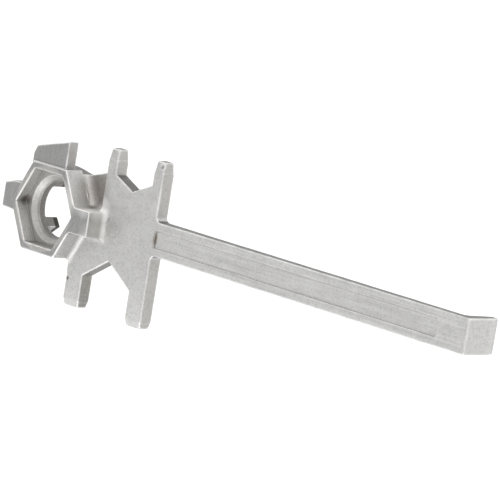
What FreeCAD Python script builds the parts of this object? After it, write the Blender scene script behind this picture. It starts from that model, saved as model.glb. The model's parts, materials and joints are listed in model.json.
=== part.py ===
import FreeCAD, Part
import math
import os

import Sketcher

# Multi-purpose drum plug wrench, one stainless casting drawn as its working regions.
# +X runs along the handle, +Y up the short prongs, +Z out of the mouth of the hex socket.
# The origin is the centre of the socket's mouth. Every length is in millimetres.

SIZES = {
    # hex socket
    "socket_flats": 46.1,
    "socket_wall": 4.65,
    "socket_recess": 8.6,
    "seat_ledge": 2.05,
    "bore_diameter": 34.8,
    "bore_start": 11.9,
    "bore_end": 16.7,
    "hub_diameter": 56.2,
    "back_rim": 3.9,
    "rim_chamfer": 0.7,
    # lugs on the outside of the ring
    "lug_thick": 7.9,
    "lug_setback": 1.2,
    "top_lug_left": 2.1,
    "top_lug_right": 14.4,
    "top_lug_low": 9.9,
    "top_lug_high": 17.3,
    "top_lug_corner": 5.0,
    "side_lug_reach": 9.0,
    "side_lug_above": 12.0,
    "side_lug_below": 6.5,
    "side_lug_corner": 2.4,
    # drive lugs on the back of the ring
    "drive_lug_width": 7.0,
    "drive_lug_margin": 1.7,
    "drive_lug_proud": 4.0,
    "drive_lug_angle": 37.0,
    # claw plate and prongs
    "ring_rise": 13.4,
    "plate_thick": 9.2,
    "head_end": 89.4,
    "short_prong_width": 8.7,
    "short_jaw": 33.5,
    "short_vee_angle": 24.0,
    "short_vee_depth": 23.9,
    "short_prong_length": 15.4,
    "short_tip_length": 6.8,
    "long_prong_width": 14.8,
    "long_jaw": 44.2,
    "long_vee_angle": 31.5,
    "long_vee_depth": 21.9,
    "long_prong_length": 20.8,
    "long_tip_length": 3.8,
    "tip_step": 0.2,
    "tip_side_draft": 0.75,
    "tip_face_draft": 0.95,
    "tip_round": 1.1,
    "web_setback": 4.6,
    "web_valley": 25.4,
    "web_valley_place": 18.0,
    "web_round": 14.0,
    "web_blend": 5.5,
    # neck between ring and plate
    "neck_end": 43.4,
    "neck_width": 16.2,
    "neck_drop": 1.3,
    "neck_blend": 3.6,
    "neck_corner": 4.0,
    # handle and pry tip
    "handle_length": 262.6,
    "handle_width": 20.9,
    "handle_root_round": 3.5,
    "handle_root_land": 1.5,
    "handle_tip_thick": 6.8,
    "panel_start": 1.0,
    "panel_length": 238.0,
    "panel_width": 10.8,
    "panel_deep": 0.7,
    "panel_round": 1.5,
    "tab_thick": 9.4,
    "tab_reach": 25.2,
    "tab_face": 17.8,
    "tab_bevel": 2.0,
    "tab_end_thick": 4.5,
    "tab_inner_round": 4.0,
    "corner_round": 1.0,
    "cast_round": 0.9,
}

doc = FreeCAD.newDocument("drum_plug_wrench")
sizes = doc.addObject("Spreadsheet::Sheet", "Sizes")
for row, (alias, value) in enumerate(SIZES.items(), start=1):
    sizes.set(f"A{row}", alias)
    sizes.set(f"B{row}", str(value))
    sizes.setAlias(f"B{row}", alias)
worked = doc.addObject("Spreadsheet::Sheet", "Worked")
doc.recompute()

# Heights and outline places that several pieces share, as expressions on the sheet.
RING_FLATS = "(Sizes.socket_flats + 2 * Sizes.socket_wall)"
RING_CORNER = f"({RING_FLATS} / sqrt(3))"
PLATE_FRONT = "(-Sizes.ring_rise)"
PLATE_BACK = "(-Sizes.ring_rise - Sizes.plate_thick)"
WEB_FRONT = "(-Sizes.ring_rise - Sizes.web_setback)"
RING_BACK = PLATE_BACK
SEAT_DIAMETER = "(Sizes.socket_flats - 2 * Sizes.seat_ledge)"
BACK_BEVEL_DIAMETER = "(Sizes.hub_diameter - 2 * Sizes.back_rim)"
DRIVE_LUG_DEEP = "(Sizes.hub_diameter / 2 - Sizes.bore_diameter / 2 - Sizes.drive_lug_margin)"
HALF_HANDLE = "(Sizes.handle_width / 2)"
NECK_TOP = "(Sizes.neck_width / 2 - Sizes.neck_drop)"
NECK_BOTTOM = "(-Sizes.neck_width / 2 - Sizes.neck_drop)"

HEAD_END = "Sizes.head_end"
SHORT_FAR = "(Sizes.head_end - Sizes.short_prong_width)"
SHORT_MIDDLE = f"({SHORT_FAR} - Sizes.short_jaw / 2)"
SHORT_NEAR = f"({SHORT_FAR} - Sizes.short_jaw)"
HEAD_START = f"({SHORT_NEAR} - Sizes.short_prong_width)"
SHORT_ROOT = "(Sizes.short_vee_depth + Sizes.short_jaw / 2 * tan(Sizes.short_vee_angle * 1 deg))"

LONG_FAR = "(Sizes.head_end - Sizes.long_prong_width)"
LONG_MIDDLE = f"({LONG_FAR} - Sizes.long_jaw / 2)"
LONG_NEAR = f"({LONG_FAR} - Sizes.long_jaw)"
LONG_START = f"({LONG_NEAR} - Sizes.long_prong_width)"
LONG_ROOT = "(Sizes.long_vee_depth + Sizes.long_jaw / 2 * tan(Sizes.long_vee_angle * 1 deg))"

HANDLE_START = "(Sizes.head_end + Sizes.handle_root_round + Sizes.handle_root_land)"
HANDLE_END = "(Sizes.head_end + Sizes.handle_length)"
BEND_START = f"({HANDLE_END} - Sizes.tab_thick - Sizes.tab_inner_round)"
PANEL_START = "(Sizes.head_end + Sizes.panel_start)"
PANEL_END = f"({PANEL_START} + Sizes.panel_length)"

nodes = []


def size_of(expression):
    """Value of an expression on the sheet, in millimetres, worked out in a spare sheet's cell."""
    worked.set("A1", f"={expression}")
    worked.recompute()
    value = worked.get("A1")
    return float(getattr(value, "Value", value))


def new_body(label):
    body = doc.addObject("PartDesign::Body", label)
    body.Label = label
    return body


def body_from(label, base):
    """New body that goes on from another object's solid."""
    body = new_body(label)
    body.BaseFeature = base
    doc.recompute()
    return body


def origin_plane(body, role):
    for feature in body.Origin.OriginFeatures:
        if feature.Role == role:
            return feature
    raise RuntimeError(f"{body.Label} has no {role}")


def new_sketch(body, name, role, offset):
    """Sketch parallel to an origin plane, moved along that plane's normal by an expression."""
    sketch = body.newObject("Sketcher::SketchObject", name)
    sketch.AttachmentSupport = (origin_plane(body, role), [""])
    sketch.MapMode = "FlatFace"
    sketch.setExpression("AttachmentOffset.Base.z", offset)
    return sketch


def bind_point(sketch, geometry, vertex, across, up):
    """Ties one point of a sketch to two expressions, measured from the sketch's origin."""
    for kind, expression in (("DistanceX", across), ("DistanceY", up)):
        value = size_of(expression)
        index = sketch.addConstraint(Sketcher.Constraint(kind, -1, 1, geometry, vertex, value))
        sketch.setExpression(f"Constraints[{index}]", expression)


def add_polygon(sketch, points):
    """Closed outline through points given as pairs of expressions."""
    corners = [FreeCAD.Vector(size_of(across), size_of(up), 0) for across, up in points]
    count = len(corners)
    first = sketch.GeometryCount
    for place in range(count):
        sketch.addGeometry(Part.LineSegment(corners[place], corners[(place + 1) % count]))
    for place in range(count):
        this_line = first + place
        next_line = first + (place + 1) % count
        sketch.addConstraint(Sketcher.Constraint("Coincident", this_line, 2, next_line, 1))
    for place, (across, up) in enumerate(points):
        bind_point(sketch, first + place, 1, across, up)


def add_circle(sketch, diameter):
    radius = f"{diameter} / 2"
    circle = Part.Circle(FreeCAD.Vector(0, 0, 0), FreeCAD.Vector(0, 0, 1), size_of(radius))
    place = sketch.addGeometry(circle)
    sketch.addConstraint(Sketcher.Constraint("Coincident", place, 3, -1, 1))
    index = sketch.addConstraint(Sketcher.Constraint("Radius", place, size_of(radius)))
    sketch.setExpression(f"Constraints[{index}]", radius)


def hexagon(corner_radius):
    """Six corners of a hexagon with one corner on +X."""
    return [
        (f"{corner_radius} * cos({60 * step} deg)", f"{corner_radius} * sin({60 * step} deg)")
        for step in range(6)
    ]


def add_pad(body, name, sketch, length, midplane=False, reverse=False):
    pad = body.newObject("PartDesign::Pad", name)
    pad.Profile = sketch
    pad.setExpression("Length", length)
    pad.Midplane = midplane
    pad.Reversed = reverse
    doc.recompute()
    return pad


def add_pocket(body, name, sketch, length):
    """Cuts away from the sketch's front, and checks that something was removed."""
    before = body.Shape.Volume
    pocket = body.newObject("PartDesign::Pocket", name)
    pocket.Profile = sketch
    pocket.setExpression("Length", length)
    doc.recompute()
    if not body.Shape.Volume < before - 1e-3:
        raise RuntimeError(f"{name} removed nothing")
    return pocket


def edge_names(shape, wanted):
    """Names of the edges whose middle point passes a test."""
    names = []
    for place, edge in enumerate(shape.Edges, start=1):
        middle = edge.valueAt((edge.FirstParameter + edge.LastParameter) / 2)
        if wanted(edge, middle):
            names.append(f"Edge{place}")
    return names


def upright_at(points):
    """Test for edges along Z that stand on one of the points given as expressions."""
    places = [(size_of(across), size_of(up)) for across, up in points]

    def wanted(edge, middle):
        box = edge.BoundBox
        if box.ZLength < 0.5 or box.XLength > 0.01 or box.YLength > 0.01:
            return False
        return any(math.hypot(middle.x - x, middle.y - y) < 0.05 for x, y in places)

    return wanted


def add_fillet(body, name, wanted, radius, kind="PartDesign::Fillet"):
    """Rounds or chamfers the chosen edges of the body's last feature."""
    base = body.Tip
    edges = edge_names(base.Shape, wanted)
    if not edges:
        raise RuntimeError(f"{name} found no edges")
    fillet = body.newObject(kind, name)
    fillet.Base = (base, edges)
    fillet.setExpression("Radius" if kind.endswith("Fillet") else "Size", radius)
    doc.recompute()
    return fillet


def along(axis, places):
    """Test for straight edges along an axis through one of some places across it."""
    across = [name for name in "xyz" if name != axis]
    spots = [tuple(size_of(value) for value in place) for place in places]

    def wanted(edge, middle):
        box = edge.BoundBox
        spans = {"x": box.XLength, "y": box.YLength, "z": box.ZLength}
        if spans[axis] < 0.5 or max(spans[name] for name in across) > 0.01:
            return False
        place = tuple(getattr(middle, name) for name in across)
        return any(math.dist(place, spot) < 0.05 for spot in spots)

    return wanted


def on_outline(points, sides, level, arcs_from=None):
    """Test for edges at a level on chosen sides of an outline, or on its arcs past a place."""
    height = size_of(level)
    arc_start = math.inf if arcs_from is None else size_of(arcs_from)
    corners = [(size_of(across), size_of(up)) for across, up in points]

    def wanted(edge, middle):
        if abs(middle.z - height) > 0.01 or edge.BoundBox.ZLength > 0.01:
            return False
        if edge.Curve.TypeId == "Part::GeomCircle":
            return middle.x > arc_start
        for side in sides:
            (x1, y1), (x2, y2) = corners[side], corners[(side + 1) % len(corners)]
            run = math.hypot(x2 - x1, y2 - y1)
            forward = ((middle.x - x1) * (x2 - x1) + (middle.y - y1) * (y2 - y1)) / run
            off = ((middle.x - x1) * (y2 - y1) - (middle.y - y1) * (x2 - x1)) / run
            if abs(off) < 0.01 and 0 < forward < run:
                return True
        return False

    return wanted


def hide_in(label, base, tool):
    """Node made from a body with another solid's room taken out of it."""
    cut = doc.addObject("Part::Cut", label)
    cut.Label = label
    cut.Base = base
    cut.Tool = tool
    doc.recompute()
    return cut


# ---- hex socket ring: hexagonal mouth on a round hub, bevelled seat, short bore, bevelled back

ring = new_body("socket_ring")
mouth_outline = new_sketch(ring, "ring_mouth_outline", "XY_Plane", PLATE_FRONT)
add_polygon(mouth_outline, hexagon(RING_CORNER))
add_pad(ring, "ring_mouth", mouth_outline, "Sizes.ring_rise")
hub_outline = new_sketch(ring, "ring_hub_outline", "XY_Plane", RING_BACK)
add_circle(hub_outline, "Sizes.hub_diameter")
add_pad(ring, "ring_hub", hub_outline, "Sizes.plate_thick")
recess_outline = new_sketch(ring, "ring_recess_outline", "XY_Plane", "0")
add_polygon(recess_outline, hexagon("(Sizes.socket_flats / sqrt(3))"))
add_pocket(ring, "ring_recess", recess_outline, "Sizes.socket_recess")
bore_profile = new_sketch(ring, "ring_bore_profile", "XZ_Plane", "0")
add_polygon(
    bore_profile,
    [
        ("0", "-Sizes.socket_recess"),
        (f"{SEAT_DIAMETER} / 2", "-Sizes.socket_recess"),
        ("Sizes.bore_diameter / 2", "-Sizes.bore_start"),
        ("Sizes.bore_diameter / 2", "-Sizes.bore_end"),
        (f"{BACK_BEVEL_DIAMETER} / 2", RING_BACK),
        ("0", RING_BACK),
    ],
)
bore = ring.newObject("PartDesign::Groove", "ring_bore")
bore.Profile = bore_profile
bore.ReferenceAxis = (bore_profile, ["V_Axis"])
bore.Angle = 360
doc.recompute()
add_fillet(
    ring,
    "ring_rim_chamfer",
    lambda edge, middle: abs(middle.z) < 0.01 and edge.BoundBox.ZLength < 0.01,
    "Sizes.rim_chamfer",
    "PartDesign::Chamfer",
)
nodes.append(ring)

# Outer form of the ring with no bore: the room it takes in the plate, web and neck.
envelope = new_body("ring_envelope")
envelope_hub = new_sketch(envelope, "envelope_hub_outline", "XY_Plane", RING_BACK)
add_circle(envelope_hub, "Sizes.hub_diameter")
add_pad(envelope, "envelope_hub", envelope_hub, "Sizes.plate_thick")
envelope_mouth = new_sketch(envelope, "envelope_mouth_outline", "XY_Plane", PLATE_FRONT)
add_polygon(envelope_mouth, hexagon(RING_CORNER))
add_pad(envelope, "envelope_mouth", envelope_mouth, "Sizes.ring_rise")

# ---- outer lugs: the top lug stands on a flat of the ring, the side lug straddles a corner

LUG_BASE = "(-Sizes.lug_setback - Sizes.lug_thick)"
RING_TOP = f"({RING_FLATS} / 2)"



def round_faces(body, name, corners):
    """Rounds a lug's front and back edges on the sides that stand free of the ring."""
    for face, level in (("front", "-Sizes.lug_setback"), ("back", LUG_BASE)):
        free_edges = on_outline(corners, (1, 2, 3, 4), level)
        add_fillet(body, f"{name}_{face}_rounds", free_edges, "Sizes.cast_round")


top_lug = new_body("ring_top_lug")
top_lug_outline = new_sketch(top_lug, "top_lug_outline", "XY_Plane", LUG_BASE)
TOP_LUG_LEFT = f"(-{RING_CORNER} / 2 - Sizes.top_lug_left)"
TOP_LUG_CORNERS = [
    (f"-{RING_CORNER} / 2", RING_TOP),
    ("Sizes.top_lug_right", RING_TOP),
    ("Sizes.top_lug_right", f"{RING_TOP} + Sizes.top_lug_high"),
    (f"{TOP_LUG_LEFT} + Sizes.top_lug_corner / 2", f"{RING_TOP} + Sizes.top_lug_low"),
    (TOP_LUG_LEFT, f"{RING_TOP} + Sizes.top_lug_low - Sizes.top_lug_corner"),
    (TOP_LUG_LEFT, f"{RING_TOP} - Sizes.top_lug_left * sqrt(3)"),
]
add_polygon(top_lug_outline, TOP_LUG_CORNERS)
add_pad(top_lug, "top_lug_block", top_lug_outline, "Sizes.lug_thick")
round_faces(top_lug, "top_lug", TOP_LUG_CORNERS)
nodes.append(top_lug)

side_lug = new_body("ring_side_lug")
side_lug_outline = new_sketch(side_lug, "side_lug_outline", "XY_Plane", LUG_BASE)
SIDE_LUG_END = f"(-{RING_CORNER} - Sizes.side_lug_reach)"
SIDE_LUG_CORNER_X = f"({SIDE_LUG_END} + 3 * Sizes.side_lug_corner)"
SIDE_LUG_CORNERS = [
    (f"-{RING_CORNER}", "0"),
    (f"-{RING_CORNER} + Sizes.side_lug_above / sqrt(3)", "Sizes.side_lug_above"),
    (SIDE_LUG_CORNER_X, "Sizes.side_lug_above - Sizes.side_lug_corner / 6"),
    (SIDE_LUG_END, "Sizes.side_lug_above - Sizes.side_lug_corner"),
    (SIDE_LUG_END, "-Sizes.side_lug_below + Sizes.side_lug_corner / 4"),
    (f"-{RING_CORNER} + Sizes.side_lug_below / sqrt(3)", "-Sizes.side_lug_below"),
]
add_polygon(side_lug_outline, SIDE_LUG_CORNERS)
add_pad(side_lug, "side_lug_block", side_lug_outline, "Sizes.lug_thick")
round_faces(side_lug, "side_lug", SIDE_LUG_CORNERS)
nodes.append(side_lug)

# ---- four drive lugs that stand out of the bevelled back of the ring

for step in range(4):
    turn = f"(Sizes.drive_lug_angle + {90 * step}) * 1 deg"
    block = doc.addObject("Part::Box", f"drive_lug_block_{step + 1}")
    block.setExpression("Length", DRIVE_LUG_DEEP)
    block.setExpression("Width", "Sizes.drive_lug_width")
    block.setExpression("Height", f"-Sizes.bore_end - {RING_BACK} + Sizes.drive_lug_proud")
    block.Placement = FreeCAD.Placement(
        FreeCAD.Vector(0, 0, 0), FreeCAD.Rotation(FreeCAD.Vector(0, 0, 1), 10)
    )
    block.setExpression("Placement.Rotation.Angle", turn)
    block.setExpression(
        "Placement.Base.x",
        f"Sizes.bore_diameter / 2 * cos({turn}) + Sizes.drive_lug_width / 2 * sin({turn})",
    )
    block.setExpression(
        "Placement.Base.y",
        f"Sizes.bore_diameter / 2 * sin({turn}) - Sizes.drive_lug_width / 2 * cos({turn})",
    )
    block.setExpression("Placement.Base.z", f"{RING_BACK} - Sizes.drive_lug_proud")
    doc.recompute()
    nodes.append(hide_in(f"drive_lug_{step + 1}", block, ring))

# ---- neck: ties the ring's mouth to the plate, flush with the mouth's front

NECK_TOP_START = f"({RING_CORNER} - {NECK_TOP} / sqrt(3))"
NECK_BOTTOM_START = f"({RING_CORNER} + {NECK_BOTTOM} / sqrt(3))"
BOSS = [
    (f"{RING_CORNER} / 2", f"-{RING_TOP}"),
    (NECK_BOTTOM_START, NECK_BOTTOM),
    ("Sizes.neck_end", NECK_BOTTOM),
    ("Sizes.neck_end", NECK_TOP),
    (NECK_TOP_START, NECK_TOP),
    (f"{RING_CORNER} / 2", RING_TOP),
    (f"-{RING_CORNER} / 2", RING_TOP),
    (f"-{RING_CORNER}", "0"),
]
INNER_CORNERS = (1, 4)
SLAB = f"(3 * {RING_CORNER})"


def add_boss(body, name, level):
    """Raises the joined outline of mouth and neck from a level, with its inner corners rounded."""
    outline = new_sketch(body, f"{name}_outline", "XY_Plane", level)
    add_polygon(outline, BOSS)
    add_pad(body, f"{name}_boss", outline, f"-{level}")
    inner = upright_at([BOSS[place] for place in INNER_CORNERS])
    add_fillet(body, f"{name}_corners", inner, "Sizes.neck_corner")


def blended_slab(label, level, radius):
    """Broad slab up to a level, the boss standing on it, and a concave fillet round its foot."""
    body = new_body(label)
    slab = new_sketch(body, f"{label}_slab", "XY_Plane", PLATE_BACK)
    left, right, low, high = f"(-{SLAB})", f"({HANDLE_START} + {SLAB})", f"(-{SLAB})", SLAB
    add_polygon(slab, [(left, low), (right, low), (right, high), (left, high)])
    add_pad(body, f"{label}_pad", slab, f"{level} - {PLATE_BACK}")
    add_boss(body, label, level)
    height = size_of(level)
    reach = size_of(SLAB) - 1

    def at_foot(edge, middle):
        level_edge = abs(middle.z - height) < 0.01 and edge.BoundBox.ZLength < 0.01
        return level_edge and abs(middle.y) < reach and abs(middle.x) < reach

    add_fillet(body, f"{label}_foot", at_foot, radius)
    return body


def keep_inside(label, base, outline):
    """Node made from a body with only what lies inside an outline's block kept."""
    common = doc.addObject("Part::Common", label)
    common.Base = base
    common.Tool = outline
    doc.recompute()
    return common


neck = new_body("socket_neck_blank")
add_boss(neck, "neck", PLATE_FRONT)
neck_room = hide_in("socket_neck_room", neck, envelope)
socket_neck = body_from("socket_neck", neck_room)
neck_front = on_outline(BOSS, (1, 2, 3), "0")
add_fillet(socket_neck, "neck_front_rounds", neck_front, "Sizes.rim_chamfer")
nodes.append(socket_neck)

# ---- claw plate: two vee jaws back to back, with the root of the handle

plate = new_body("claw_plate_outline_block")
plate_outline = new_sketch(plate, "claw_plate_outline", "XY_Plane", PLATE_BACK)
PLATE_CORNERS = [
    ("0", NECK_TOP),
    ("0", f"-{RING_TOP} * 0.7"),
    (LONG_START, f"-{RING_TOP} * 0.7"),
    (LONG_START, f"-{LONG_ROOT}"),
    (LONG_NEAR, f"-{LONG_ROOT}"),
    (LONG_MIDDLE, "-Sizes.long_vee_depth"),
    (LONG_FAR, f"-{LONG_ROOT}"),
    (HEAD_END, f"-{LONG_ROOT}"),
    (HEAD_END, f"-{HALF_HANDLE}"),
    (HANDLE_START, f"-{HALF_HANDLE}"),
    (HANDLE_START, HALF_HANDLE),
    (HEAD_END, HALF_HANDLE),
    (HEAD_END, SHORT_ROOT),
    (SHORT_FAR, SHORT_ROOT),
    (SHORT_MIDDLE, "Sizes.short_vee_depth"),
    (SHORT_NEAR, SHORT_ROOT),
    (HEAD_START, SHORT_ROOT),
    (HEAD_START, NECK_TOP),
]
add_polygon(plate_outline, PLATE_CORNERS)
add_pad(plate, "claw_plate_outline_pad", plate_outline, f"-{PLATE_BACK}")
add_fillet(
    plate,
    "handle_root_rounds",
    upright_at([(HEAD_END, HALF_HANDLE), (HEAD_END, f"-{HALF_HANDLE}")]),
    "Sizes.handle_root_round",
)
plate_panel = new_sketch(plate, "plate_panel_outline", "XY_Plane", "0")
add_polygon(
    plate_panel,
    [
        (PANEL_START, "-Sizes.panel_width / 2"),
        (f"{HANDLE_START} + 1", "-Sizes.panel_width / 2"),
        (f"{HANDLE_START} + 1", "Sizes.panel_width / 2"),
        (PANEL_START, "Sizes.panel_width / 2"),
    ],
)
add_pocket(plate, "plate_panel", plate_panel, "Sizes.ring_rise + Sizes.panel_deep")
plate_slab = blended_slab("claw_plate_slab", PLATE_FRONT, "Sizes.neck_blend")
plate_whole = keep_inside("claw_plate_whole", plate_slab, plate)
plate_round_ring = hide_in("claw_plate_round_ring", plate_whole, envelope)
plate_round_neck = hide_in("claw_plate_round_neck", plate_round_ring, neck_room)
claw_plate = body_from("claw_plate", plate_round_neck)
# Sides with nothing joined to them: the jaws, the ends and the sides of the handle's root.
FREE_SIDES = (4, 5, 7, 8, 10, 11, 13, 14)
add_fillet(
    claw_plate,
    "claw_plate_front_rounds",
    on_outline(PLATE_CORNERS, FREE_SIDES + (16,), PLATE_FRONT, HEAD_END),
    "Sizes.cast_round",
)
add_fillet(
    claw_plate,
    "claw_plate_back_rounds",
    on_outline(PLATE_CORNERS, FREE_SIDES + (2,), PLATE_BACK, HEAD_END),
    "Sizes.cast_round",
)
nodes.append(claw_plate)

# ---- web: thinner, set back from the plate's front, its top edge dips between ring and prong

web = new_body("head_web_outline_block")
web_outline = new_sketch(web, "head_web_outline", "XY_Plane", PLATE_BACK)
add_polygon(
    web_outline,
    [
        (HEAD_START, NECK_TOP),
        (HEAD_START, SHORT_ROOT),
        ("Sizes.web_valley_place", "Sizes.web_valley"),
        (f"{RING_CORNER} / 6", RING_TOP),
        (f"{RING_CORNER} / 6", NECK_TOP),
    ],
)
add_pad(web, "head_web_outline_pad", web_outline, f"-{PLATE_BACK}")
add_fillet(
    web,
    "head_web_valley",
    upright_at([("Sizes.web_valley_place", "Sizes.web_valley")]),
    "Sizes.web_round",
)
web_slab = blended_slab("head_web_slab", WEB_FRONT, "Sizes.web_blend")
web_whole = keep_inside("head_web_whole", web_slab, web)
web_round_ring = hide_in("head_web_round_ring", web_whole, envelope)
nodes.append(hide_in("head_web", web_round_ring, neck_room))

# ---- prongs: a square shank and a drafted tip each


def add_prong(label, left, right, sign, root, length, tip_length):
    """Prong cut to its outline from the front, then to its drafted tip from the side."""
    body = new_body(label)
    start = f"{sign} {root}"
    shoulder = f"{sign} ({root} + {length} - {tip_length})"
    end = f"{sign} ({root} + {length})"
    outline = new_sketch(body, f"{label}_outline", "XY_Plane", PLATE_BACK)
    add_polygon(
        outline,
        [
            (left, start),
            (left, shoulder),
            (f"{left} + Sizes.tip_step", shoulder),
            (f"{left} + Sizes.tip_side_draft", end),
            (f"{right} - Sizes.tip_side_draft", end),
            (f"{right} - Sizes.tip_step", shoulder),
            (right, shoulder),
            (right, start),
        ],
    )
    add_pad(body, f"{label}_pad", outline, "Sizes.plate_thick")
    draft = new_sketch(body, f"{label}_draft", "YZ_Plane", right)
    for level, inward in ((PLATE_FRONT, "-"), (PLATE_BACK, "+")):
        add_polygon(
            draft,
            [
                (shoulder, level),
                (shoulder, f"{level} {inward} Sizes.tip_step"),
                (end, f"{level} {inward} Sizes.tip_face_draft"),
                (end, level),
            ],
        )
    add_pocket(body, f"{label}_tip", draft, f"{right} - {left}")
    shoulder_height = abs(size_of(shoulder))
    add_fillet(
        body,
        f"{label}_tip_rounds",
        lambda edge, middle: abs(middle.y) > shoulder_height + 0.01,
        "Sizes.tip_round",
    )
    shank_edges = [(x, z) for x in (left, right) for z in (PLATE_BACK, PLATE_FRONT)]
    add_fillet(body, f"{label}_shank_rounds", along("y", shank_edges), "Sizes.cast_round")
    nodes.append(body)


SHORT = ("", SHORT_ROOT, "Sizes.short_prong_length", "Sizes.short_tip_length")
LONG = ("-", LONG_ROOT, "Sizes.long_prong_length", "Sizes.long_tip_length")
add_prong("short_prong_near", HEAD_START, SHORT_NEAR, *SHORT)
add_prong("short_prong_far", SHORT_FAR, HEAD_END, *SHORT)
add_prong("long_prong_near", LONG_START, LONG_NEAR, *LONG)
add_prong("long_prong_far", LONG_FAR, HEAD_END, *LONG)

# ---- handle: straight bar, thinner to its end, with a sunk panel down its front

handle = new_body("handle_bar")
handle_outline = new_sketch(handle, "handle_outline", "XY_Plane", PLATE_BACK)
add_polygon(
    handle_outline,
    [
        (HANDLE_START, f"-{HALF_HANDLE}"),
        (BEND_START, f"-{HALF_HANDLE}"),
        (BEND_START, HALF_HANDLE),
        (HANDLE_START, HALF_HANDLE),
    ],
)
add_pad(handle, "handle_pad", handle_outline, "Sizes.plate_thick")
taper_profile = new_sketch(handle, "handle_taper_profile", "XZ_Plane", f"-({HALF_HANDLE} + 1)")
add_polygon(
    taper_profile,
    [
        (HANDLE_START, PLATE_BACK),
        (BEND_START, f"{PLATE_FRONT} - Sizes.handle_tip_thick"),
        (BEND_START, PLATE_BACK),
    ],
)
taper = handle.newObject("PartDesign::Pocket", "handle_taper")
taper.Profile = taper_profile
taper.Type = "ThroughAll"
taper.Midplane = True
doc.recompute()
panel_outline = new_sketch(handle, "handle_panel_outline", "XY_Plane", PLATE_FRONT)
add_polygon(
    panel_outline,
    [
        (f"{HANDLE_START} - 1", "-Sizes.panel_width / 2"),
        (PANEL_END, "-Sizes.panel_width / 2"),
        (PANEL_END, "Sizes.panel_width / 2"),
        (f"{HANDLE_START} - 1", "Sizes.panel_width / 2"),
    ],
)
add_pocket(handle, "handle_panel", panel_outline, "Sizes.panel_deep")
add_fillet(
    handle,
    "handle_panel_rounds",
    upright_at([(PANEL_END, "Sizes.panel_width / 2"), (PANEL_END, "-Sizes.panel_width / 2")]),
    "Sizes.panel_round",
)
half_handle = size_of(HALF_HANDLE)
add_fillet(
    handle,
    "handle_edge_rounds",
    lambda edge, middle: edge.BoundBox.XLength > size_of("Sizes.panel_length")
    and edge.BoundBox.YLength < 0.01
    and abs(abs(middle.y) - half_handle) < 0.01,
    "Sizes.cast_round",
)
nodes.append(handle)

# ---- pry tip: the bar's end turned square to the back, thinned to a bevelled edge

tip = new_body("pry_tip")
tip_profile = new_sketch(tip, "pry_tip_profile", "XZ_Plane", "0")
TAB_END = f"({PLATE_FRONT} - Sizes.tab_reach)"
TAB_OUTER_END = f"({HANDLE_END} - Sizes.tab_bevel)"
BAR_BACK = f"({PLATE_FRONT} - Sizes.handle_tip_thick)"
add_polygon(
    tip_profile,
    [
        (BEND_START, PLATE_FRONT),
        (BEND_START, BAR_BACK),
        (f"{HANDLE_END} - Sizes.tab_thick", BAR_BACK),
        (f"{TAB_OUTER_END} - Sizes.tab_end_thick", TAB_END),
        (TAB_OUTER_END, TAB_END),
        (HANDLE_END, f"{PLATE_FRONT} - Sizes.tab_face"),
        (HANDLE_END, PLATE_FRONT),
    ],
)
add_pad(tip, "pry_tip_pad", tip_profile, "Sizes.handle_width", midplane=True)


def level_at(across, up):
    """Test for edges along Y at a place in the XZ plane given as expressions."""
    x = size_of(across)
    z = size_of(up)

    def wanted(edge, middle):
        box = edge.BoundBox
        if box.YLength < 0.5 or box.XLength > 0.01 or box.ZLength > 0.01:
            return False
        return math.hypot(middle.x - x, middle.z - z) < 0.05

    return wanted


add_fillet(
    tip,
    "pry_tip_inner_round",
    level_at(f"{HANDLE_END} - Sizes.tab_thick", BAR_BACK),
    "Sizes.tab_inner_round * 0.9",
)
add_fillet(tip, "pry_tip_corner_round", level_at(HANDLE_END, PLATE_FRONT), "Sizes.corner_round")
bend_start = size_of(BEND_START)
add_fillet(
    tip,
    "pry_tip_edge_rounds",
    lambda edge, middle: edge.BoundBox.YLength < 0.01
    and abs(abs(middle.y) - half_handle) < 0.01
    and edge.BoundBox.XMax > bend_start + 0.01,
    "Sizes.cast_round",
)
nodes.append(tip)

# ---- checks and export

doc.removeObject(worked.Name)
doc.recompute()
for item in doc.Objects:
    if "Invalid" in item.State or "Error" in item.State:
        raise RuntimeError(f"{item.Label} failed: {item.State}")
for node in nodes:
    if node.Shape.isNull() or not node.Shape.isValid():
        raise RuntimeError(f"{node.Label} has a bad shape")
    if len(node.Shape.Solids) != 1:
        raise RuntimeError(f"{node.Label} has {len(node.Shape.Solids)} solids")

os.makedirs("parts", exist_ok=True)
for node in nodes:
    node.Shape.exportStep(os.path.join("parts", f"{node.Label}.step"))
    print(node.Label, round(node.Shape.Volume, 1))
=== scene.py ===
import json

import bmesh
import bpy
import numpy as np
from mathutils import Matrix, Vector, noise

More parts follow.
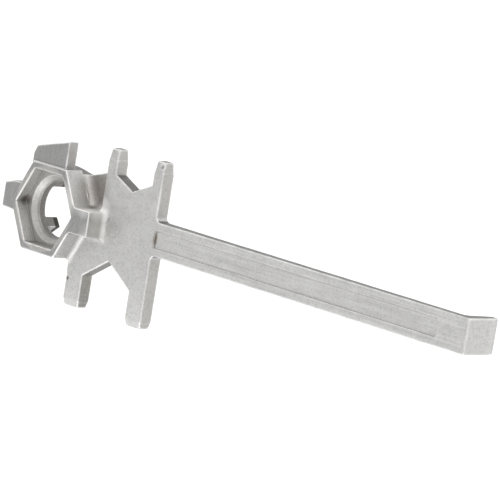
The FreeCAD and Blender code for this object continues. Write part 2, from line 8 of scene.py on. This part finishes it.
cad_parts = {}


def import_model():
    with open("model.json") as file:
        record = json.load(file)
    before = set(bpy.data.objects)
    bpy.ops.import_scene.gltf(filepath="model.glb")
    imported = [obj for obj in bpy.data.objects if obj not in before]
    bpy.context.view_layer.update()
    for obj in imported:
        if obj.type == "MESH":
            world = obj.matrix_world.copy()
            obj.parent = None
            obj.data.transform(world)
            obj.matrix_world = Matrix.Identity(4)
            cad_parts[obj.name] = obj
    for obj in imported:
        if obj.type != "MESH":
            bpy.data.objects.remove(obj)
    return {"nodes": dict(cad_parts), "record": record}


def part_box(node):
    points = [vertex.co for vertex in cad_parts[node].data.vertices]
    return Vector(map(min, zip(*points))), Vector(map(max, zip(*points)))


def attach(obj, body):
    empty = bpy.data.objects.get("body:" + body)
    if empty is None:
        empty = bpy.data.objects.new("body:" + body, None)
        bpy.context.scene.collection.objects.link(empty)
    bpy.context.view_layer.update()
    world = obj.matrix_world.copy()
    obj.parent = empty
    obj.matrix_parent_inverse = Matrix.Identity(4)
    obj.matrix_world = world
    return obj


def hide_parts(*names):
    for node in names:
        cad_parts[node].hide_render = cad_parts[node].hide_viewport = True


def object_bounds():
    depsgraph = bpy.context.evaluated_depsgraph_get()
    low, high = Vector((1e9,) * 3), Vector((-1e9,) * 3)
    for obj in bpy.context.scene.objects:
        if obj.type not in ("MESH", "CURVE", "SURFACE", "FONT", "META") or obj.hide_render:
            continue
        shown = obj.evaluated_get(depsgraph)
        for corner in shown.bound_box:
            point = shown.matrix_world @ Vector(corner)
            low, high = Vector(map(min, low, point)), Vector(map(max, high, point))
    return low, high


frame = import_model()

# Drum plug wrench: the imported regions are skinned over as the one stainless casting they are.
# Lengths are metres in the CAD frame: +X along the handle, +Y up the short prongs,
# +Z out of the socket's mouth.

MM = 0.001
cad_low, cad_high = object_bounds()


def on(region, back):
    """A place on a CAD node, in millimetres back from the highest corner of its box."""
    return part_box(region)[1] - MM * Vector(back)


# ---------------------------------------------------------------- casting

VOXEL = 0.32 * MM
EDGE_SOFTENING = 0.5
EDGE_PASSES = 4
KEPT_SHARE = 0.21  # of the skin's faces, after it is thinned

WAVE_SIZE = 14 * MM
WAVE_DEPTH = 0.10 * MM
BOX_MARGIN = 0.02 * MM

CURVATURE_PASSES = 6
WORN_CURVATURE = 0.016 * MM  # how far an edge fully worn stands out from the points round it

PIT_STEEPNESS = 1.5
PITS = [
    # region, millimetres back from its highest corner, radius, depth
    ("short_prong_far", (2.6, 3.16, 0.8), 2.3 * MM, 0.75 * MM),
    ("long_prong_near", (13.4, 3.96, 0.0), 1.5 * MM, 0.50 * MM),
    ("long_prong_near", (14.7, 6.06, 0.2), 0.9 * MM, 0.30 * MM),
    ("claw_plate", (14.0, 56.76, 3.6), 0.8 * MM, 0.25 * MM),
    ("socket_ring", (8.99, 30.09, 0.1), 0.7 * MM, 0.15 * MM),
    ("ring_top_lug", (26.4, 11.0, 0.0), 0.9 * MM, 0.20 * MM),
    ("handle_bar", (134.6, 2.45, 0.0), 0.9 * MM, 0.20 * MM),
    ("handle_bar", (26.6, 16.45, 0.4), 0.8 * MM, 0.20 * MM),
]

# A round mark beside the neck, such as a casting's gate leaves.
GATE_REGION = "claw_plate"
GATE_BACK = (42.9, 31.36, 3.6)
GATE_RADIUS = 6.2 * MM
GATE_WIDTH = 0.9 * MM
GATE_DEPTH = 0.13 * MM


def apply_modifiers(obj):
    """Puts the object's mesh as its modifiers leave it on the same object."""
    bpy.context.view_layer.update()
    graph = bpy.context.evaluated_depsgraph_get()
    mesh = bpy.data.meshes.new_from_object(obj.evaluated_get(graph))
    obj.modifiers.clear()
    old = obj.data
    obj.data = mesh
    bpy.data.meshes.remove(old)


def per_vertex(mesh, name):
    """The mesh's coordinates ("co") or its normals ("normal"), one row per vertex."""
    flat = np.empty(len(mesh.vertices) * 3, np.float32)
    mesh.vertices.foreach_get(name, flat)
    return flat.reshape(-1, 3).astype(float)


def joined(name, nodes):
    """One new object that holds a copy of the shapes of several CAD nodes."""
    shape = bmesh.new()
    for node in nodes:
        shape.from_mesh(node.data)
    mesh = bpy.data.meshes.new(name)
    shape.to_mesh(mesh)
    shape.free()
    obj = bpy.data.objects.new(name, mesh)
    bpy.context.scene.collection.objects.link(obj)
    return obj


def skin_over(obj):
    """Makes one closed skin of overlapping solids, with the soft edges of a casting."""
    remesh = obj.modifiers.new("one_skin", "REMESH")
    remesh.mode = "VOXEL"
    remesh.voxel_size = VOXEL
    smooth = obj.modifiers.new("cast_edges", "SMOOTH")
    smooth.factor = EDGE_SOFTENING
    smooth.iterations = EDGE_PASSES
    apply_modifiers(obj)


def weather(obj):
    """Sinks a casting's gentle waves, pits and gate mark, and stays inside the CAD box."""
    mesh = obj.data
    co = per_vertex(mesh, "co")

    def distance(region, back):
        return np.linalg.norm(co - np.array(on(region, back)), axis=1)

    wave = np.array([noise.noise(Vector(point) / WAVE_SIZE) for point in co])
    push = WAVE_DEPTH * (wave - 0.5).clip(-1, 0)
    for region, back, radius, depth in PITS:
        gap = distance(region, back) / radius
        push -= depth * np.clip(1 - gap * gap, 0, 1) ** PIT_STEEPNESS
    rim = np.abs(distance(GATE_REGION, GATE_BACK) - GATE_RADIUS) / GATE_WIDTH
    push -= GATE_DEPTH * np.clip(1 - rim, 0, 1)

    co += per_vertex(mesh, "normal") * push[:, None]
    co = np.clip(co, np.array(cad_low) + BOX_MARGIN, np.array(cad_high) - BOX_MARGIN)
    mesh.vertices.foreach_set("co", co.astype(np.float32).ravel())
    mesh.update()


def mark_edges(obj):
    """Stores how convex the skin is at each point: 0.5 flat, 1 a worn edge, 0 a deep corner."""
    mesh = obj.data
    count = len(mesh.vertices)
    ends = np.empty(len(mesh.edges) * 2, np.int32)
    mesh.edges.foreach_get("vertices", ends)
    one, other = ends[::2], ends[1::2]
    links = np.bincount(ends, minlength=count)

    def around(values):
        """The mean of each point's neighbours."""
        total = np.bincount(one, values[other], count) + np.bincount(other, values[one], count)
        return total / links

    co = per_vertex(mesh, "co")
    inward = np.stack([around(co[:, axis]) for axis in range(3)], axis=1) - co
    convex = -(inward * per_vertex(mesh, "normal")).sum(axis=1)
    for _ in range(CURVATURE_PASSES):
        convex = (convex + around(convex)) / 2
    edge = (0.5 + 0.5 * convex / WORN_CURVATURE).clip(0, 1)
    layer = mesh.attributes.new("edge", "FLOAT", "POINT")
    layer.data.foreach_set("value", edge.astype(np.float32))


def thin_out(obj):
    """Drops points where the skin is flat or evenly curved."""
    thin = obj.modifiers.new("fewer_faces", "DECIMATE")
    thin.ratio = KEPT_SHARE
    apply_modifiers(obj)


casting = joined("wrench_casting", frame["nodes"].values())
skin_over(casting)
weather(casting)
mark_edges(casting)
thin_out(casting)
casting.data.shade_smooth()


# ---------------------------------------------------------------- material

# A Mix node has a set of sockets for each type; these are the colour ones.
COLOUR_A, COLOUR_B, COLOUR_RESULT = 6, 7, 2


class NodeMaterial:
    """Short forms for building one node material."""

    def __init__(self, name):
        self.material = bpy.data.materials.new(name)
        self.material.use_nodes = True
        self.tree = self.material.node_tree
        self.tree.nodes.clear()

    def add(self, kind, **settings):
        node = self.tree.nodes.new(kind)
        for key, value in settings.items():
            setattr(node, key, value)
        return node

    def put(self, value, socket):
        """Links another node's output to a socket, or sets the socket's own value."""
        if isinstance(value, bpy.types.NodeSocket):
            self.tree.links.new(value, socket)
        else:
            socket.default_value = (*value, 1.0) if socket.type == "RGBA" else value

    def split(self, vector):
        """The three parts of a vector."""
        node = self.add("ShaderNodeSeparateXYZ")
        self.put(vector, node.inputs[0])
        return tuple(node.outputs)

    def stretched(self, place, scale):
        """Coordinates that draw a pattern out along the axes whose scale is small."""
        node = self.add("ShaderNodeMapping")
        self.put(place, node.inputs["Vector"])
        self.put(scale, node.inputs["Scale"])
        return node.outputs[0]

    def noise(self, place, scale, detail, roughness):
        node = self.add("ShaderNodeTexNoise")
        self.put(place, node.inputs["Vector"])
        self.put(scale, node.inputs["Scale"])
        self.put(detail, node.inputs["Detail"])
        self.put(roughness, node.inputs["Roughness"])
        return node.outputs["Fac"]

    def remap(self, value, low, high, to_low=0.0, to_high=1.0):
        node = self.add("ShaderNodeMapRange")
        for index, item in enumerate((value, low, high, to_low, to_high)):
            self.put(item, node.inputs[index])
        return node.outputs[0]

    def below(self, value, edge, soft):
        """1 below an edge, 0 above it, with a soft step between."""
        return self.remap(value, edge + soft, edge - soft)

    def math(self, operation, *values):
        node = self.add("ShaderNodeMath", operation=operation)
        for index, value in enumerate(values):
            self.put(value, node.inputs[index])
        return node.outputs[0]

    def product(self, first, second):
        return self.math("MULTIPLY", first, second)

    def distance(self, place, centre):
        node = self.add("ShaderNodeVectorMath", operation="DISTANCE")
        self.put(place, node.inputs[0])
        self.put(centre, node.inputs[1])
        return node.outputs["Value"]

    def mix(self, factor, first, second):
        node = self.add("ShaderNodeMix", data_type="RGBA")
        self.put(factor, node.inputs["Factor"])
        self.put(first, node.inputs[COLOUR_A])
        self.put(second, node.inputs[COLOUR_B])
        return node.outputs[COLOUR_RESULT]

    def bump(self, height, distance, strength, below=None):
        node = self.add("ShaderNodeBump")
        self.put(height, node.inputs["Height"])
        self.put(distance, node.inputs["Distance"])
        self.put(strength, node.inputs["Strength"])
        if below is not None:
            self.put(below, node.inputs["Normal"])
        return node.outputs["Normal"]

    def principled(self, values):
        """Ends the material with a Principled shader that has the given socket values."""
        shader = self.add("ShaderNodeBsdfPrincipled")
        for name, value in values.items():
            self.put(value, shader.inputs[name])
        output = self.add("ShaderNodeOutputMaterial")
        self.put(shader.outputs[0], output.inputs["Surface"])
        return self.material


NOISES = {
    # noise: scale, detail, roughness
    "broad": (26.0, 3.0, 0.50),
    "cloud": (130.0, 5.0, 0.60),
    "grain": (700.0, 4.0, 0.65),
    "sand": (1500.0, 3.0, 0.70),
}
PORE_SCALE = 330.0

STREAKS = {
    # streaks: scale along each axis, fineness
    "mouth": ((1.0, 0.07, 1.0), 900.0),
    "bar": ((0.025, 1.0, 1.0), 620.0),
}
STREAK_DETAIL = 3.0
STREAK_ROUGHNESS = 0.6

RELIEF = {
    # layer: depth, strength, from the lowest layer to the top one
    "broad": (2.50 * MM, 0.30),
    "cloud": (0.50 * MM, 0.50),
    "grain": (0.22 * MM, 0.75),
    "pores": (0.06 * MM, 0.40),
    "sand": (0.10 * MM, 0.70),
}

# How squarely a face looks along an axis where its mask begins, and where the mask is full.
FORWARD = (0.75, 0.95)
SIDEWAYS = (0.90, 0.98)
UPRIGHT = (0.66, 0.90)

# The same for the skin's "edge" values.
WORN_OR_LIT_EDGE = (0.62, 1.0)
SHADED_CORNER = (0.35, 0.0)

METAL_DARK = (0.50, 0.497, 0.49)
METAL_LIGHT = (0.57, 0.568, 0.562)

SHADES = {
    # feature: how much of the tone below it covers, its linear colour
    # painted shade on faces that look along the handle
    "shaded_side_x": (0.60, (0.41, 0.40, 0.375)),
    # painted shade on the long jaw's inner side
    "shaded_jaw_side": (0.90, (0.27, 0.262, 0.24)),
    # painted shade on faces that look up or down
    "shaded_side_y": (0.95, (0.13, 0.127, 0.12)),
    "long_jaw_front": (0.22, (0.80, 0.797, 0.79)),
    # painted shade on the mouth's front rim
    "shaded_mouth_front": (0.90, (0.31, 0.31, 0.309)),
    "mouth_streak": (0.40, (0.20, 0.20, 0.198)),
    "bar_light_streak": (0.45, (0.66, 0.655, 0.645)),
    "bar_dark_streak": (0.35, (0.34, 0.335, 0.325)),
    # painted highlight on the handle's end face
    "tip_end": (0.70, (0.62, 0.615, 0.60)),
    # painted shade within the hub's radius
    "shaded_hub": (0.70, (0.46, 0.45, 0.43)),
    # painted shade in the bore
    "bore": (0.80, (0.13, 0.12, 0.11)),
    "dark_grain": (0.42, (0.27, 0.265, 0.255)),
    "light_sand": (0.35, (0.74, 0.735, 0.725)),
    # painted shade on the web beside the neck, tinted brown
    "web_shade": (0.55, (0.20, 0.165, 0.13)),
    "seat_dark_spot": (0.75, (0.10, 0.075, 0.055)),
    "root_stroke": (0.85, (0.12, 0.09, 0.06)),
    "pit_dark_spot": (0.70, (0.12, 0.10, 0.08)),
    # partly wear, partly painted highlight on convex edges
    "worn_and_lit_edge": (1.00, (0.80, 0.795, 0.78)),
    # painted highlights round the neck
    "neck_side_highlight": (0.95, (0.95, 0.945, 0.93)),
    "mouth_wall_highlight": (0.60, (0.72, 0.715, 0.70)),
    "neck_foot_highlight": (0.60, (0.72, 0.70, 0.67)),
    # painted shade on the lugs behind the plate
    "shaded_drive_lugs": (0.90, (0.045, 0.040, 0.035)),
    # painted shade in corners
    "corner_shade": (0.50, (0.13, 0.12, 0.105)),
}

SPOT_CORE = 0.35  # share of a spot's radius where it is full
SPOTS = {
    # spot: region, millimetres back from its highest corner, radius
    # where the painted shade on the long jaw's inner side is full
    "shaded_jaw_side": ("long_prong_near", (0.0, 11.56, 4.6), 22.0 * MM),
    "neck": ("socket_neck", (7.4, 8.8, 6.0), 17.0 * MM),
    # where the painted shade on the web beside the neck sits
    "web_shade": ("head_web", (9.5, 13.36, 4.5), 17.0 * MM),
    "seat_dark_spot": ("socket_ring", (56.99, 27.09, 6.0), 4.2 * MM),
    "root_stroke": ("claw_plate", (3.8, 31.36, 4.0), 1.9 * MM),
    "pit_dark_spot": ("long_prong_near", (13.2, 4.16, 0.0), 2.0 * MM),
    # where the painted highlights round the neck sit
    "neck_side_highlight": ("socket_neck", (5.4, 0.3, 8.0), 11.0 * MM),
    "mouth_wall_highlight": ("socket_ring", (5.99, 15.09, 4.0), 13.0 * MM),
    "neck_foot_highlight": ("socket_neck", (1.4, 14.8, 8.0), 10.0 * MM),
}

# Levels of the frame that the masks are measured from.
mouth_level = cad_high.z
prong_end = cad_low.y
tip_end = cad_high.x
bar_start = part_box("handle_bar")[0].x
plate_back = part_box("claw_plate")[0].z
hub_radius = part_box("socket_ring")[1].y
ring_bore = next(mount for mount in frame["record"]["mounts"] if mount["name"] == "ring_bore")
bore_radius = ring_bore["dims"]["r_mm"] * MM
bore_top = ring_bore["pos_m"][2] + ring_bore["dims"]["length_mm"] / 2 * MM


class CastStainless(NodeMaterial):
    """The casting's surface: one tone that masks of place, facing and wear shade in turn."""

    def __init__(self):
        super().__init__("cast_stainless")
        self.place = self.add("ShaderNodeTexCoord").outputs["Object"]
        self.x, self.y, self.z = self.split(self.place)
        facing = self.split(self.add("ShaderNodeNewGeometry").outputs["Normal"])
        self.facing_x, self.facing_y, self.facing_z = facing
        self.forward = self.remap(self.facing_z, *FORWARD)
        across, up = self.product(self.x, self.x), self.product(self.y, self.y)
        self.from_axis = self.math("SQRT", self.math("ADD", across, up))
        self.edge = self.add("ShaderNodeAttribute", attribute_name="edge").outputs["Fac"]
        self.noises = {name: self.noise(self.place, *look) for name, look in NOISES.items()}
        clouds = self.remap(self.noises["cloud"], 0.3, 0.7)
        self.tone = self.mix(clouds, METAL_DARK, METAL_LIGHT)

    def shade(self, feature, mask):
        """Lays a feature's colour over the tone where the mask is 1."""
        strength, colour = SHADES[feature]
        self.tone = self.mix(self.product(mask, strength), self.tone, colour)

    def spot(self, name, stretch=(1.0, 1.0, 1.0)):
        """1 at a place on the casting, falling to 0 at the spot's radius."""
        region, back, radius = SPOTS[name]
        place, centre = self.place, on(region, back)
        if stretch != (1.0, 1.0, 1.0):
            place, centre = self.stretched(place, stretch), centre * Vector(stretch)
        return self.remap(self.distance(place, centre), radius, radius * SPOT_CORE)

    def streaks(self, name):
        scale, fineness = STREAKS[name]
        drawn_out = self.stretched(self.place, scale)
        return self.noise(drawn_out, fineness, STREAK_DETAIL, STREAK_ROUGHNESS)

    def sides(self):
        """Walls are painted darker than the front as painted shade: faces that look along the
        handle, the long jaw's inner side, and faces that look up or down.
        """
        sideways = self.remap(self.math("ABSOLUTE", self.facing_x), *SIDEWAYS)
        before_tip = self.remap(self.x, tip_end - 32 * MM, tip_end - 52 * MM)
        # painted shade on faces that look along the handle, except near its tip
        self.shade("shaded_side_x", self.product(sideways, before_tip))
        # painted shade on the long jaw's inner side
        self.shade("shaded_jaw_side", self.product(sideways, self.spot("shaded_jaw_side")))
        upright = self.remap(self.math("ABSOLUTE", self.facing_y), *UPRIGHT)
        off_neck = self.math("SUBTRACT", 1.0, self.spot("neck"))
        # painted shade on faces that look up or down, except round the neck
        self.shade("shaded_side_y", self.product(upright, off_neck))

    def fronts(self):
        """The long jaw's front is lighter towards its end, and the mouth's rim is painted
        darker, as painted shade, with upright streaks.
        """
        jaw = self.remap(self.y, prong_end + 38 * MM, prong_end + 6 * MM)
        self.shade("long_jaw_front", self.product(jaw, self.forward))
        near_mouth = self.remap(self.z, mouth_level - 9.5 * MM, mouth_level - 5.5 * MM)
        rim = self.product(near_mouth, self.forward)
        # painted shade on the mouth's front rim
        self.shade("shaded_mouth_front", rim)
        streaks = self.remap(self.streaks("mouth"), 0.45, 0.68)
        self.shade("mouth_streak", self.product(rim, streaks))

    def handle(self):
        """Fine strokes of rubbing along the bar, and a painted highlight on its end."""
        on_bar = self.remap(self.x, bar_start - 2.4 * MM, bar_start + 15.6 * MM)
        bar = self.product(on_bar, self.forward)
        strokes = self.streaks("bar")
        self.shade("bar_light_streak", self.product(bar, self.remap(strokes, 0.48, 0.66)))
        self.shade("bar_dark_streak", self.product(bar, self.remap(strokes, 0.46, 0.30)))
        # painted highlight on the handle's end face
        self.shade("tip_end", self.remap(self.x, tip_end - 2.5 * MM, tip_end - 1.0 * MM))

    def inside_ring(self):
        """The recess is painted a little darker and the bore below it dark, both as painted
        shade.
        """
        # painted shade within the hub's radius
        self.shade("shaded_hub", self.below(self.from_axis, hub_radius - 1.3 * MM, 0.3 * MM))
        deep = self.below(self.z, bore_top + 0.7 * MM, 0.6 * MM)
        narrow = self.below(self.from_axis, bore_radius + 1.0 * MM, 0.6 * MM)
        # painted shade in the bore
        self.shade("bore", self.product(deep, narrow))

    def grit(self):
        """Dark grains and light sand all over."""
        self.shade("dark_grain", self.remap(self.noises["grain"], 0.50, 0.72))
        self.shade("light_sand", self.remap(self.noises["sand"], 0.46, 0.30))

    # Dark spots: painted shade on the web beside the neck, and darker spots in the seat, at the
    # plate's root and in a pit.
    def dark_spots(self):
        # painted shade on the web beside the neck, tinted brown
        self.shade("web_shade", self.spot("web_shade"))
        self.shade("seat_dark_spot", self.spot("seat_dark_spot"))
        self.shade("root_stroke", self.spot("root_stroke", (1.0, 0.3, 1.0)))
        self.shade("pit_dark_spot", self.spot("pit_dark_spot"))

    def wear_and_highlights(self):
        """Edges are painted bright in patches, partly wear and partly painted highlight, and
        three places round the neck get painted highlights.
        """
        patches = self.remap(self.noises["cloud"], 0.30, 0.62, 0.25, 0.80)
        # partly wear, partly painted highlight on convex edges
        self.shade("worn_and_lit_edge", self.product(self.remap(self.edge, *WORN_OR_LIT_EDGE), patches))
        # painted highlights on three places round the neck
        for name in ("neck_side_highlight", "mouth_wall_highlight", "neck_foot_highlight"):
            self.shade(name, self.spot(name))

    def dark_places(self):
        """Painted shade on the lugs behind the plate and in corners, more of it on the head."""
        behind = self.below(self.z, plate_back - 0.2 * MM, 0.3 * MM)
        round_bore = self.below(self.from_axis, hub_radius + 0.9 * MM, 0.5 * MM)
        # painted shade on the lugs behind the plate
        self.shade("shaded_drive_lugs", self.product(behind, round_bore))
        head = self.remap(self.x, bar_start + 0.6 * MM, bar_start - 9.4 * MM, 0.45, 1.0)
        # painted shade in corners, more of it on the head
        self.shade("corner_shade", self.product(self.remap(self.edge, *SHADED_CORNER), head))

    def roughness(self):
        patches = self.remap(self.noises["cloud"], 0.2, 0.8, 0.44, 0.58)
        return self.math("ADD", patches, self.remap(self.noises["grain"], 0.3, 0.8, 0.0, 0.12))

    def relief(self):
        """Bumps upon bumps."""
        cells = self.add("ShaderNodeTexVoronoi")
        self.put(PORE_SCALE, cells.inputs["Scale"])
        self.put(self.place, cells.inputs["Vector"])
        heights = {**self.noises, "pores": self.remap(cells.outputs["Distance"], 0.10, 0.22)}
        normal = None
        for layer, (depth, strength) in RELIEF.items():
            normal = self.bump(heights[layer], depth, strength, normal)
        return normal

    def built(self):
        self.sides()
        self.fronts()
        self.handle()
        self.inside_ring()
        self.grit()
        self.dark_spots()
        self.wear_and_highlights()
        self.dark_places()
        return self.principled(
            {
                "Metallic": 1.0,
                "Base Color": self.tone,
                "Roughness": self.roughness(),
                "Normal": self.relief(),
            }
        )


casting.data.materials.clear()
casting.data.materials.append(CastStainless().built())
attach(casting, "root")
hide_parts(*frame["nodes"])


# ---------------------------------------------------------------- floor, light and camera

FLOOR_DROP = 0.35  # so deep that no shadow shows, as in the photograph
FLOOR_SIZE = 6.0
FLOOR_LOOK = {"Base Color": (0.92, 0.92, 0.92), "Roughness": 0.9, "Specular IOR Level": 0.1}

SKY = 0.78

MIDDLE = (0.14, 0, -0.02)
LONG_JAW = (0.05, -0.05, -0.02)
RING = (0.03, 0.01, -0.01)
SOFTBOXES = [
    # name, place, what it faces, width and height, watts
    ("side", (0.35, -1.1, 0.9), MIDDLE, (1.2, 1.2), 12),
    ("left", (-0.75, -0.60, 0.70), LONG_JAW, (0.8, 0.8), 1.6),
    ("edge", (-0.70, 0.70, 0.20), MIDDLE, (0.9, 0.6), 3),
    ("right", (0.75, 0.90, 0.45), RING, (0.8, 0.8), 6),
]

# The photograph's view, found by fitting a perspective to the tool's straight edges.
VIEW_PLACE = (1.5557, 0.2739, 1.3346)
VIEW_RIGHT = (0.6737, 0.1585, -0.7218)
VIEW_UP = (-0.2070, 0.9781, 0.0215)
SENSOR_MM = 36
LENS_MM = 240.3
NEAREST, FURTHEST = 0.05, 50


def pale_floor():
    shape = bmesh.new()
    bmesh.ops.create_grid(shape, x_segments=1, y_segments=1, size=FLOOR_SIZE)
    mesh = bpy.data.meshes.new("floor")
    shape.to_mesh(mesh)
    shape.free()
    mesh.materials.append(NodeMaterial("floor_card").principled(FLOOR_LOOK))
    floor = bpy.data.objects.new("floor", mesh)
    floor.location = (0, 0, cad_low.z - FLOOR_DROP)
    bpy.context.scene.collection.objects.link(floor)


def softbox(name, place, target, size, watts):
    light = bpy.data.lights.new(name, "AREA")
    light.shape = "RECTANGLE"
    light.size, light.size_y = size
    light.energy = watts
    lamp = bpy.data.objects.new(name, light)
    lamp.location = place
    lamp.rotation_mode = "QUATERNION"
    lamp.rotation_quaternion = (Vector(target) - Vector(place)).to_track_quat("-Z", "Y")
    bpy.context.scene.collection.objects.link(lamp)


def world():
    """Even white light from all round."""
    studio = bpy.data.worlds.new("studio")
    studio.use_nodes = True
    background = studio.node_tree.nodes["Background"]
    background.inputs["Color"].default_value = (1, 1, 1, 1)
    background.inputs["Strength"].default_value = SKY
    bpy.context.scene.world = studio


def camera():
    right, up = Vector(VIEW_RIGHT), Vector(VIEW_UP)
    back = right.cross(up).normalized()
    up = back.cross(right).normalized()
    turn = Matrix((right.normalized(), up, back)).transposed().to_4x4()
    data = bpy.data.cameras.new("photo_view")
    data.sensor_width = SENSOR_MM
    data.lens = LENS_MM
    data.clip_start, data.clip_end = NEAREST, FURTHEST
    view = bpy.data.objects.new("photo_view", data)
    view.matrix_world = Matrix.Translation(VIEW_PLACE) @ turn
    bpy.context.scene.collection.objects.link(view)
    bpy.context.scene.camera = view


bpy.context.scene.view_settings.view_transform = "Standard"
pale_floor()
for box in SOFTBOXES:
    softbox(*box)
world()
camera()
